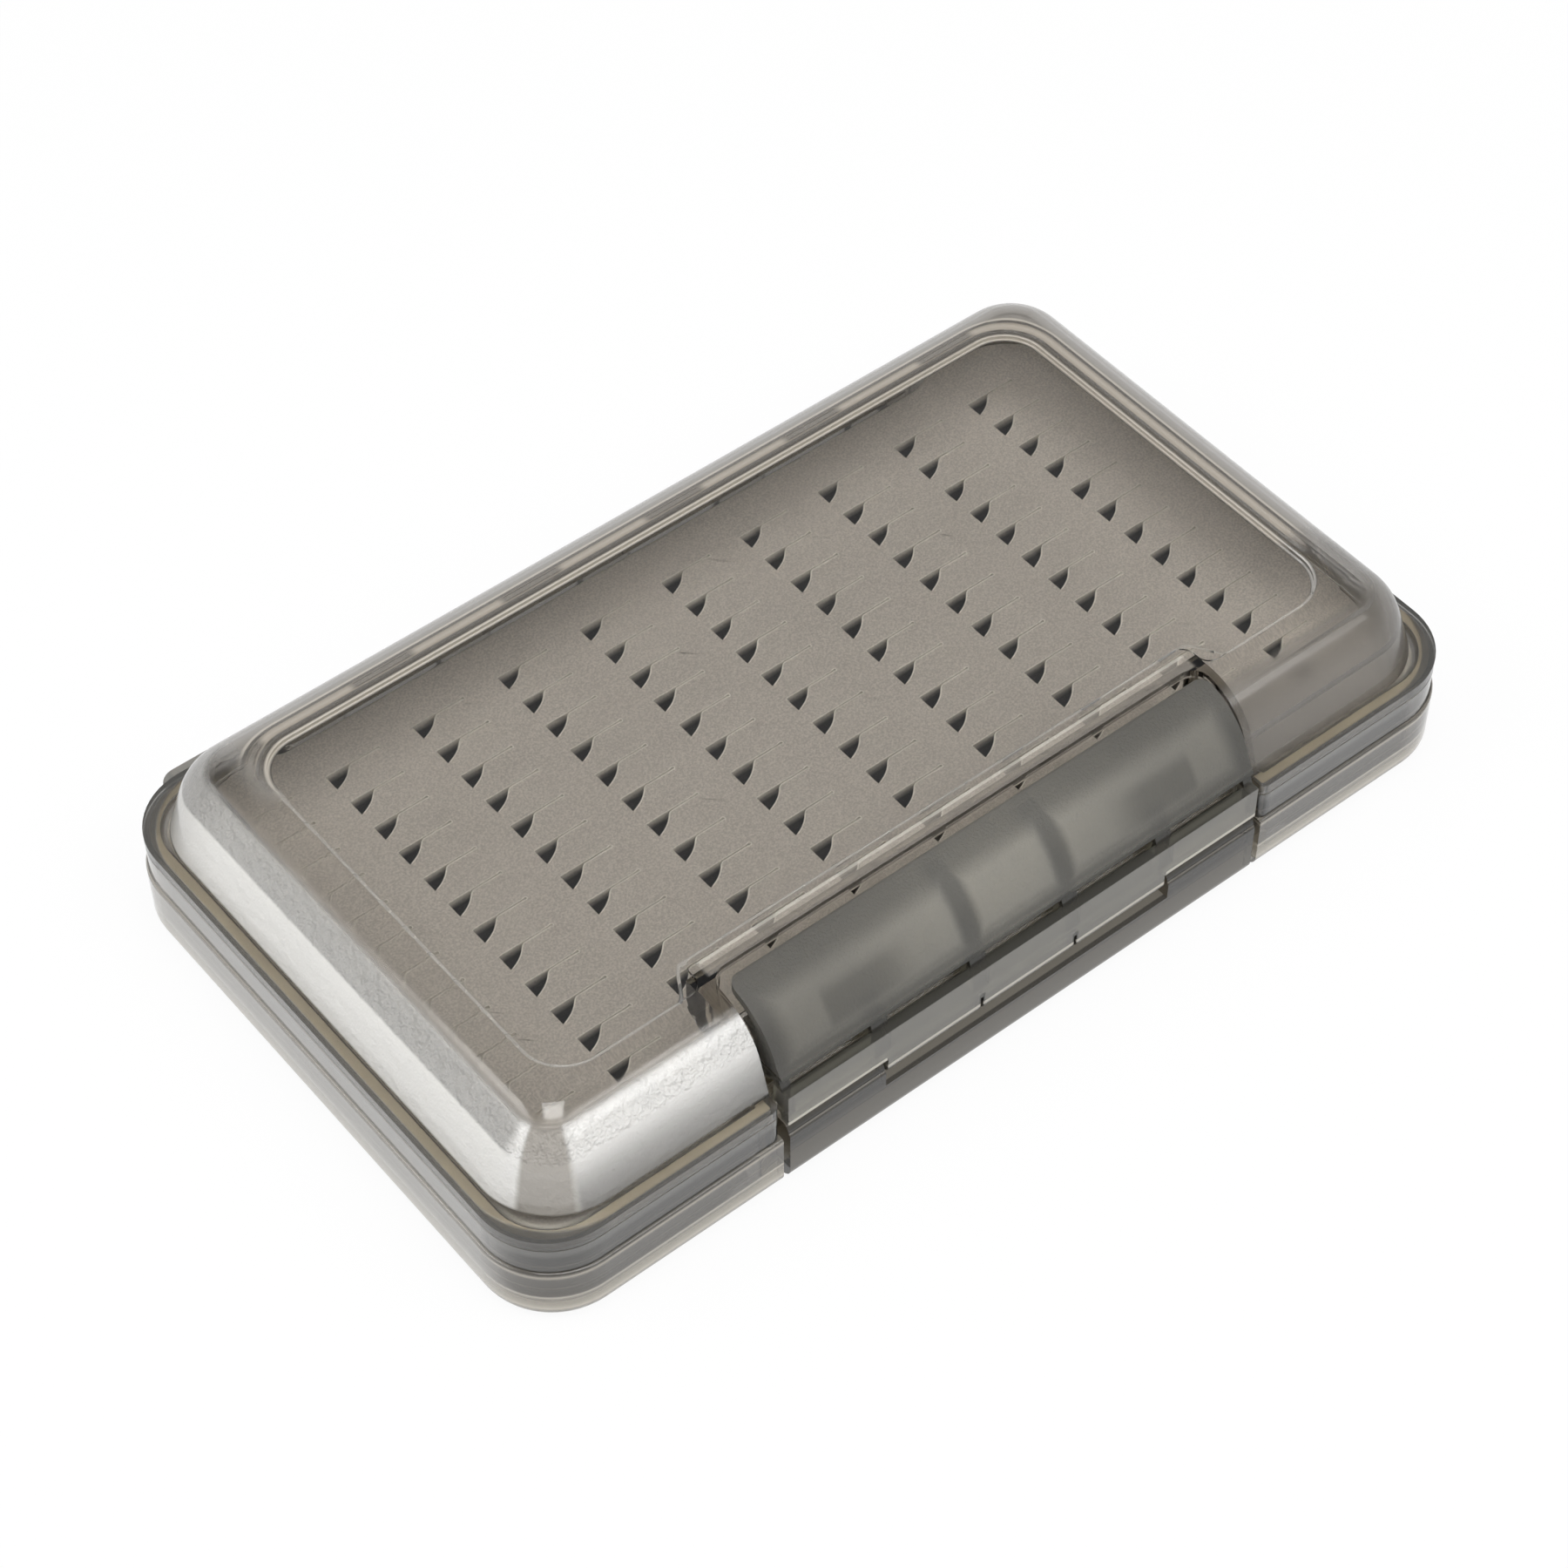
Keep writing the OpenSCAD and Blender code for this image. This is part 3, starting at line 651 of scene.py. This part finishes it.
def foam_skin(look):
    """Closed-cell foam: speckled taupe skin, finely pitted, with painted highlights on the slits' lips and
    painted shade darker down in the slits.
    """
    bench = Bench("slit_foam_skin")
    where, (x, y, z) = bench.place()
    inset = RIM_R - reach_past(x, y, RIM_HALF_L - RIM_R, RIM_HALF_W - RIM_R)
    side = 1.0 - bench.step(inset, RIM_WALL + 0.5, RIM_WALL + 0.9)
    below = FOAM_TOP - z
    side = side.most(bench.step(0.0 - y, FOAM_FRONT - 0.4, FOAM_FRONT)) * bench.step(below, 0.1, 0.4)
    speck = bench.noise(where, 3.4, 3.0, 0.7)
    cloud = bench.noise(where, 0.12)
    tone = bench.blend(bench.step(speck, 0.36, 0.66), rgba(look.colour, 0.72), rgba(look.colour, 1.07))
    tone = bench.blend(cloud * 0.35, tone, rgba(look.colour))
    # paler where the lid's far shoulders keep the light off
    far = bench.step(x, 44.0, 74.0) + bench.step(y, 16.0, 42.0) * 0.8
    tone = bench.add("ShaderNodeVectorMath", {"operation": "SCALE"}, {0: tone, "Scale": 1.0 + far * 0.38})
    # painted highlight on the slits' lips and on the raised ridges
    lip = bench.hump(below, 0.004, 0.05, 0.3, 0.8)
    ridge_highlight = bench.step(z - FOAM_TOP, 0.015, 0.05)
    tone = bench.blend((lip * 0.5).most(ridge_highlight * 0.7), tone, rgba(look.colour, 1.6))
    # painted shade deep in the slits
    tone = bench.blend(bench.step(below, 0.3, 1.7), tone, rgba(look.pit_shade_colour))
    tone = bench.blend(side, tone, rgba(look.side_colour))
    cells = bench.add("ShaderNodeTexVoronoi", {"feature": "F1"}, {"Vector": where, "Scale": 4.5})
    normal = bench.bump(speck * 0.7 + cells * 0.5, 0.45, 0.00006)
    skin = bench.node("ShaderNodeBsdfPrincipled", None, {
        "Base Color": tone, "Roughness": 0.93, "Normal": normal, "Specular IOR Level": 0.25,
        "Sheen Weight": 0.15, "Sheen Roughness": 0.6})
    return bench.finish(skin)


def give(node, material):
    """Puts one material on a CAD node."""
    mesh = NODES[node].data
    mesh.materials.clear()
    mesh.materials.append(material)


def new_piece(name, points, faces, material):
    """A mesh object at the origin, with its doubles merged and its faces outwards."""
    mesh = bpy.data.meshes.new(name)
    mesh.from_pydata(points.tolist(), [], faces)
    work = bmesh.new()
    work.from_mesh(mesh)
    bmesh.ops.remove_doubles(work, verts=work.verts, dist=MERGE)
    bmesh.ops.recalc_face_normals(work, faces=work.faces)
    work.to_mesh(mesh)
    work.free()
    mesh.materials.append(material)
    piece = bpy.data.objects.new(name, mesh)
    bpy.context.scene.collection.objects.link(piece)
    return piece


def moulded_copy(node, body, material, top, under, round_off=0.0):
    """A copy of a CAD node with rounded edges, standing clear of its neighbours above and below.

    The vertices on the top face go down by top and those on the lower face up by under, so that
    no two faces lie on each other, as they do in the CAD model.
    """
    mesh = NODES[node].data.copy()
    mesh.name = node + "_moulding"
    work = bmesh.new()
    work.from_mesh(mesh)
    bmesh.ops.remove_doubles(work, verts=work.verts, dist=MERGE)
    heights = [v.co.z for v in work.verts]
    high, low = max(heights), min(heights)
    for v in work.verts:
        if v.co.z > high - LEVEL:
            v.co.z -= top
        elif v.co.z < low + LEVEL:
            v.co.z += under
    bmesh.ops.dissolve_limit(work, angle_limit=FLAT, verts=work.verts, edges=work.edges)
    work.to_mesh(mesh)
    work.free()
    if "custom_normal" in mesh.attributes:
        mesh.attributes.remove(mesh.attributes["custom_normal"])
    mesh.shade_smooth()
    mesh.set_sharp_from_angle(angle=SHARP)
    mesh.materials.clear()
    mesh.materials.append(material)
    piece = bpy.data.objects.new(mesh.name, mesh)
    bpy.context.scene.collection.objects.link(piece)
    if round_off:
        bevel = piece.modifiers.new("rounding", "BEVEL")
        bevel.width = round_off
        bevel.segments = 2
        bevel.limit_method = "ANGLE"
        bevel.angle_limit = SHARP
        bevel.harden_normals = True
    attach(piece, body)
    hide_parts(node)
    return piece


def rim_outline(inset, count=1600):
    """The rim outline set in by inset, as a polar radius table about the centre, in millimetres.

    The radius is the least of a rounded rectangle's and of the two bays' floors, where the ray
    passes through the bay's opening.
    """
    angle = np.linspace(-math.pi, math.pi, count, endpoint=False)
    ux, uy = np.cos(angle), np.sin(angle)
    a = RIM_HALF_L - inset
    b = RIM_HALF_W - inset
    r = max(RIM_R - inset, 0.5)
    with np.errstate(divide="ignore"):
        far = np.minimum(a / np.abs(ux), b / np.abs(uy))
    px, py = np.abs(ux) * far, np.abs(uy) * far
    in_corner = (px > a - r) & (py > b - r)
    cx, cy = a - r, b - r
    along = np.abs(ux) * cx + np.abs(uy) * cy
    inside = np.maximum(along * along - (cx * cx + cy * cy - r * r), 0.0)
    far = np.where(in_corner, along + np.sqrt(inside), far)
    for sign, half, deep, blend in ((-1.0, BAY_HALF, BAY_DEEP, 1.6), (1.0, HINGE_HALF, HINGE_CUT, 1.2)):
        to_floor = (b - deep) / np.maximum(uy * sign, 1e-9)
        at_x = np.abs(ux) * to_floor
        easing = np.clip((half + inset + blend - at_x) / (2 * blend), 0.0, 1.0)
        easing = easing * easing * (3 - 2 * easing)
        far = far + (np.minimum(to_floor, far) - far) * easing
    return angle, far


def slit_loop(right, low):
    """One slit's outline and its tile's border, with as many points each, in millimetres.

    The outline runs along the slit's upper lip, round its end, back along the lower lip and the
    bulging side of the mouth, and up the mouth's straight side. The border runs round the tile in
    step with it, and right and low are the tile's far sides.
    """
    mouth_x, mouth_y, mouth_start, bulge_out = 3.45, 2.5, 0.35, 0.34
    slit_end, end_r, half_slit = 8.0, 0.16, 0.03
    t = np.linspace(0.0, 1.0, LIP_POINTS + 1)[:-1]
    s = np.linspace(0.0, 1.0, END_POINTS + 1)[:-1]
    upper = np.stack([slit_end * t ** 1.1, 0.0 * t + 0.02], 1)
    end = np.stack([slit_end + end_r * np.sin(s * math.pi), end_r * np.cos(s * math.pi) - half_slit], 1)
    # the lower lip runs straight to the mouth, whose side then bulges out from its chord
    lip = t < mouth_start
    run = t / mouth_start
    bulge = np.clip((t - mouth_start) / (1.0 - mouth_start), 0.0, 1.0)
    push = bulge_out * np.sin(bulge * math.pi) / math.hypot(mouth_x, mouth_y)
    x = np.where(lip, slit_end + (mouth_x - slit_end) * run, mouth_x * (1.0 - bulge) + push * mouth_y)
    curve = -mouth_y * bulge - 2 * half_slit * (1 - bulge) - push * mouth_x
    lower = np.stack([x, np.where(lip, -2 * half_slit, curve)], 1)
    mouth = np.stack([0.0 * s, -mouth_y * (1.0 - s)], 1)
    outline = np.concatenate([upper, end, lower, mouth])
    wide, deep = right - TILE_LEFT, TILE_HIGH - low
    border = np.concatenate([
        np.stack([TILE_LEFT + wide * t, 0.0 * t + TILE_HIGH], 1),
        np.stack([0.0 * s + right, TILE_HIGH - deep * s], 1),
        np.stack([right - wide * t, 0.0 * t + low], 1),
        np.stack([0.0 * s + TILE_LEFT, low + deep * s], 1),
    ])
    return outline, border


def outward(loop):
    """Unit normals of a closed clockwise loop, pointing away from what it encloses."""
    along = np.roll(loop, -1, 0) - np.roll(loop, 1, 0)
    along /= np.maximum(np.linalg.norm(along, axis=1, keepdims=True), 1e-9)
    return np.stack([-along[:, 1], along[:, 0]], 1)


def ring_faces(rings, count, start):
    """Quads between successive closed rings of count points, and one face that ends the last ring."""
    i = np.arange(count)
    j = (i + 1) % count
    r = np.arange(rings - 1)[:, None] * count + start
    quads = np.stack([r + i, r + j, r + count + j, r + count + i], -1)
    return [*quads.reshape(-1, 4).tolist(), (i + start + (rings - 1) * count).tolist()]


def slit_tiles(look, pitch_x, pitch_y):
    """The slits' tiles: points of all of them, in millimetres, and faces.

    Each tile is a profile carried round its slit: flat at the tile's border, a soft lip that rises
    and rolls over at the slit's edge, and a wall down to the bottom of the cut. The leftmost column
    is cut but still closed, so its profile rises again inside the cut.
    """
    outline, border = slit_loop(TILE_LEFT + pitch_x, TILE_HIGH - pitch_y)
    normal = outward(outline)
    count = len(outline)
    # how much of the lip's rise the upper lip, the end, the lower lip and the mouth's side take
    raised = np.repeat([0.6, 1.0, 1.0, 0.0], [LIP_POINTS, END_POINTS, LIP_POINTS, END_POINTS])
    rng = np.random.default_rng(7)
    points, faces = [], []
    start = 0
    for column in range(look.columns):
        for row in range(look.rows):
            corner = np.array([(column - FIRST_COLUMN) * pitch_x, FIRST_ROW - row * pitch_y])
            shape = outline * (1.0 + rng.normal(0.0, 0.02, 2)) + rng.normal(0.0, 0.04, 2)
            layers = [np.column_stack([border + corner, np.full(count, FOAM_TOP)])]
            for offset, rise in OPEN_SLIT if column else SHUT_SLIT:
                lift = raised * rise if rise > 0 else np.full(count, rise)
                layers.append(np.column_stack([shape + normal * offset + corner, FOAM_TOP + lift]))
            faces += ring_faces(len(layers), count, start)
            start += len(layers) * count
            points += layers
    return np.concatenate(points), faces


def foam_border(look, pitch_x, pitch_y, start):
    """The foam from the tiles out to the tray walls, its sides and its underside."""
    left = TILE_LEFT - FIRST_COLUMN * pitch_x
    right = left + look.columns * pitch_x
    high = FIRST_ROW + TILE_HIGH
    low = high - look.rows * pitch_y
    along = pitch_x * (np.arange(look.columns)[:, None] + np.arange(LIP_POINTS) / LIP_POINTS).ravel()
    across = pitch_y * (np.arange(look.rows)[:, None] + np.arange(END_POINTS) / END_POINTS).ravel()
    inner = np.concatenate([
        np.column_stack([left + along, np.full(len(along), low)]),
        np.column_stack([np.full(len(across), right), low + across]),
        np.column_stack([right - along, np.full(len(along), high)]),
        np.column_stack([np.full(len(across), left), high - across]),
    ])
    count = len(inner)
    angle = np.arctan2(inner[:, 1], inner[:, 0])
    layers = [np.column_stack([inner, np.full(count, FOAM_TOP)])]
    for inset, rise in FOAM_EDGE:
        far = np.interp(angle, *rim_outline(RIM_WALL + FOAM_GAP + inset), period=2 * math.pi)
        height = np.full(count, FOAM_TOP + rise)
        layers.append(np.column_stack([np.cos(angle) * far, np.sin(angle) * far, height]))
    return np.concatenate(layers), ring_faces(len(layers), count, start)


def foam_surface(look):
    """Points, in metres, and faces of the whole slit foam."""
    pitch_x, pitch_y = look.pitch_x / MM, look.pitch_y / MM
    tiles, tile_faces = slit_tiles(look, pitch_x, pitch_y)
    border, border_faces = foam_border(look, pitch_x, pitch_y, len(tiles))
    return np.concatenate([tiles, border]) * MM, tile_faces + border_faces


class FLYBOX_OT_tray(Operator):
    """Give the tray and the adhesive film their finishes"""

    bl_idname = "flybox.tray"
    bl_label = "Tray"

    def execute(self, context):
        look = context.scene.flybox_case
        give("base_tray", tray_plastic(look))
        moulded_copy("foam_adhesive", "tray", adhesive_film(), 0.00002, 0.00003)
        return {"FINISHED"}


class FLYBOX_OT_lid(Operator):
    """Give the lid and its seal their finishes"""

    bl_idname = "flybox.lid"
    bl_label = "Lid and seal"

    def execute(self, context):
        look = context.scene.flybox_case
        give("lid_cover", lid_plastic(look))
        moulded_copy("lid_seal", "lid", seal_silicone(look), 0.00008, 0.00004, 0.0002)
        return {"FINISHED"}


class FLYBOX_OT_latch(Operator):
    """Give the latch its frosted smoke finish"""

    bl_idname = "flybox.latch"
    bl_label = "Latch"

    def execute(self, context):
        give("latch", latch_plastic(context.scene.flybox_case))
        return {"FINISHED"}


class FLYBOX_OT_pins(Operator):
    """Give the hinge pin and the latch pins their steel"""

    bl_idname = "flybox.pins"
    bl_label = "Pins"

    def execute(self, context):
        steel = pin_steel(context.scene.flybox_case)
        for node in ("hinge_pin", "left_latch_pin", "right_latch_pin"):
            give(node, steel)
        return {"FINISHED"}


class FLYBOX_OT_foam(Operator):
    """Build the slit foam insert"""

    bl_idname = "flybox.foam"
    bl_label = "Slit foam"

    def execute(self, context):
        look = context.scene.flybox_foam
        points, faces = foam_surface(look)
        piece = new_piece("slit_foam_insert", points, faces, foam_skin(look))
        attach(piece, "tray")
        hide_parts("slit_foam")
        return {"FINISHED"}


class FLYBOX_OT_stage(Operator):
    """Build the floor, the lamps, the world and the camera"""

    bl_idname = "flybox.stage"
    bl_label = "Stage"

    def execute(self, context):
        look = context.scene.flybox_stage
        scene = context.scene
        scene.view_settings.view_transform = "Standard"
        floor_plane(look)
        world_light(scene, look)
        soft_lamps(scene, look)
        photo_camera(scene)
        return {"FINISHED"}


def floor_plane(look):
    """A plain white floor that the camera and clear plastics see as even white."""
    half = look.floor_size / 2
    corners = np.array([(-half, -half), (half, -half), (half, half), (-half, half)])
    points = np.column_stack([corners, np.full(4, -0.00005)])
    bench = Bench("pale_floor")
    paper = bench.node("ShaderNodeBsdfDiffuse", None, {"Color": (0.9, 0.9, 0.9, 1.0)})
    white = bench.node("ShaderNodeEmission", None, {"Color": (1.0, 1.0, 1.0, 1.0), "Strength": 1.0})
    light = bench.node("ShaderNodeLightPath")
    seen = Wire(bench, light.outputs["Is Camera Ray"])
    glossy = Wire(bench, light.outputs["Is Glossy Ray"])
    through = Wire(bench, light.outputs["Is Transmission Ray"])
    amount = (seen + glossy + through).least(1.0) * 0.93
    material = bench.finish(bench.mix_skins(amount, paper, white))
    floor = new_piece("floor", points, [(0, 1, 2, 3)], material)


def world_light(scene, look):
    """White light from all round, bright at the horizon and dim overhead."""
    world = bpy.data.worlds.new("studio")
    scene.world = world
    world.use_nodes = True
    bench = Bench("world", world.node_tree)
    back = bench.tree.nodes["Background"]
    facing = bench.add("ShaderNodeTexCoord", output="Generated")
    split = bench.node("ShaderNodeSeparateXYZ", None, {0: facing})
    height = abs(Wire(bench, split.outputs[2]))
    horizon, overhead = (1.0, 1.0, 1.0, 1.0), (0.36, 0.36, 0.365, 1.0)
    shade = bench.blend(bench.step(height, 0.05, 0.45), horizon, overhead)
    bench.tree.links.new(shade.socket, back.inputs["Color"])
    back.inputs["Strength"].default_value = look.world_level


def lamp(scene, name, place, target, size, power):
    """A large square lamp that faces its target."""
    data = bpy.data.lights.new(name, "AREA")
    data.shape = "RECTANGLE"
    data.size, data.size_y = size
    data.energy = power
    piece = bpy.data.objects.new(name, data)
    aim = Vector(target) - Vector(place)
    piece.matrix_world = Matrix.Translation(place) @ aim.to_track_quat("-Z", "Y").to_matrix().to_4x4()
    scene.collection.objects.link(piece)


def soft_lamps(scene, look):
    """A soft lamp overhead, one in front and a weaker one on the left, which show in the shoulders."""
    centre = (0.0, 0.0, 0.01)
    lamp(scene, "front_softbox", (0.25, -0.56, 0.78), centre, (0.62, 0.5), look.key_power)
    lamp(scene, "left_softbox", (-0.62, 0.25, 0.72), centre, (0.6, 0.35), look.key_power * 0.8)
    lamp(scene, "top_softbox", (-0.05, -0.08, 1.0), centre, (0.45, 0.45), look.key_power * 1.1)


def photo_camera(scene):
    """The camera stands where the photograph was taken from."""
    forward = Vector(CAMERA_FORWARD).normalized()
    right = Vector(CAMERA_RIGHT)
    right = (right - forward * right.dot(forward)).normalized()
    up = right.cross(forward)
    data = bpy.data.cameras.new("camera")
    data.sensor_fit = "HORIZONTAL"
    data.sensor_width = SENSOR_MM
    data.lens = SENSOR_MM * FOCAL_PIXELS / PICTURE_PIXELS
    data.clip_start = 0.01
    data.clip_end = 50.0
    piece = bpy.data.objects.new("camera", data)
    turn = Matrix((right, up, -forward)).transposed().to_4x4()
    piece.matrix_world = Matrix.Translation(Vector(CAMERA_PLACE) * MM) @ turn
    scene.collection.objects.link(piece)
    scene.camera = piece


class FLYBOX_PT_panel(Panel):
    """Sizes, colours and builders of the fly box"""

    bl_label = "Fly box"
    bl_idname = "FLYBOX_PT_panel"
    bl_space_type = "VIEW_3D"
    bl_region_type = "UI"
    bl_category = "Fly box"

    def draw(self, context):
        layout = self.layout
        for group in (context.scene.flybox_case, context.scene.flybox_foam, context.scene.flybox_stage):
            box = layout.box()
            for key in group.__annotations__:
                box.prop(group, key)
        for operator in OPERATORS:
            layout.operator(operator.bl_idname)


OPERATORS = (
    FLYBOX_OT_tray, FLYBOX_OT_lid, FLYBOX_OT_latch, FLYBOX_OT_pins, FLYBOX_OT_foam, FLYBOX_OT_stage)
CLASSES = (CaseLook, FoamLook, StageLook, *OPERATORS, FLYBOX_PT_panel)


def register():
    for cls in CLASSES:
        bpy.utils.register_class(cls)
    bpy.types.Scene.flybox_case = PointerProperty(type=CaseLook)
    bpy.types.Scene.flybox_foam = PointerProperty(type=FoamLook)
    bpy.types.Scene.flybox_stage = PointerProperty(type=StageLook)


def unregister():
    del bpy.types.Scene.flybox_stage
    del bpy.types.Scene.flybox_foam
    del bpy.types.Scene.flybox_case
    for cls in reversed(CLASSES):
        bpy.utils.unregister_class(cls)


def main():
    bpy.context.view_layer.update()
    register()
    bpy.ops.flybox.tray()
    bpy.ops.flybox.lid()
    bpy.ops.flybox.latch()
    bpy.ops.flybox.pins()
    bpy.ops.flybox.foam()
    bpy.ops.flybox.stage()


if __name__ == "__main__":
    main()
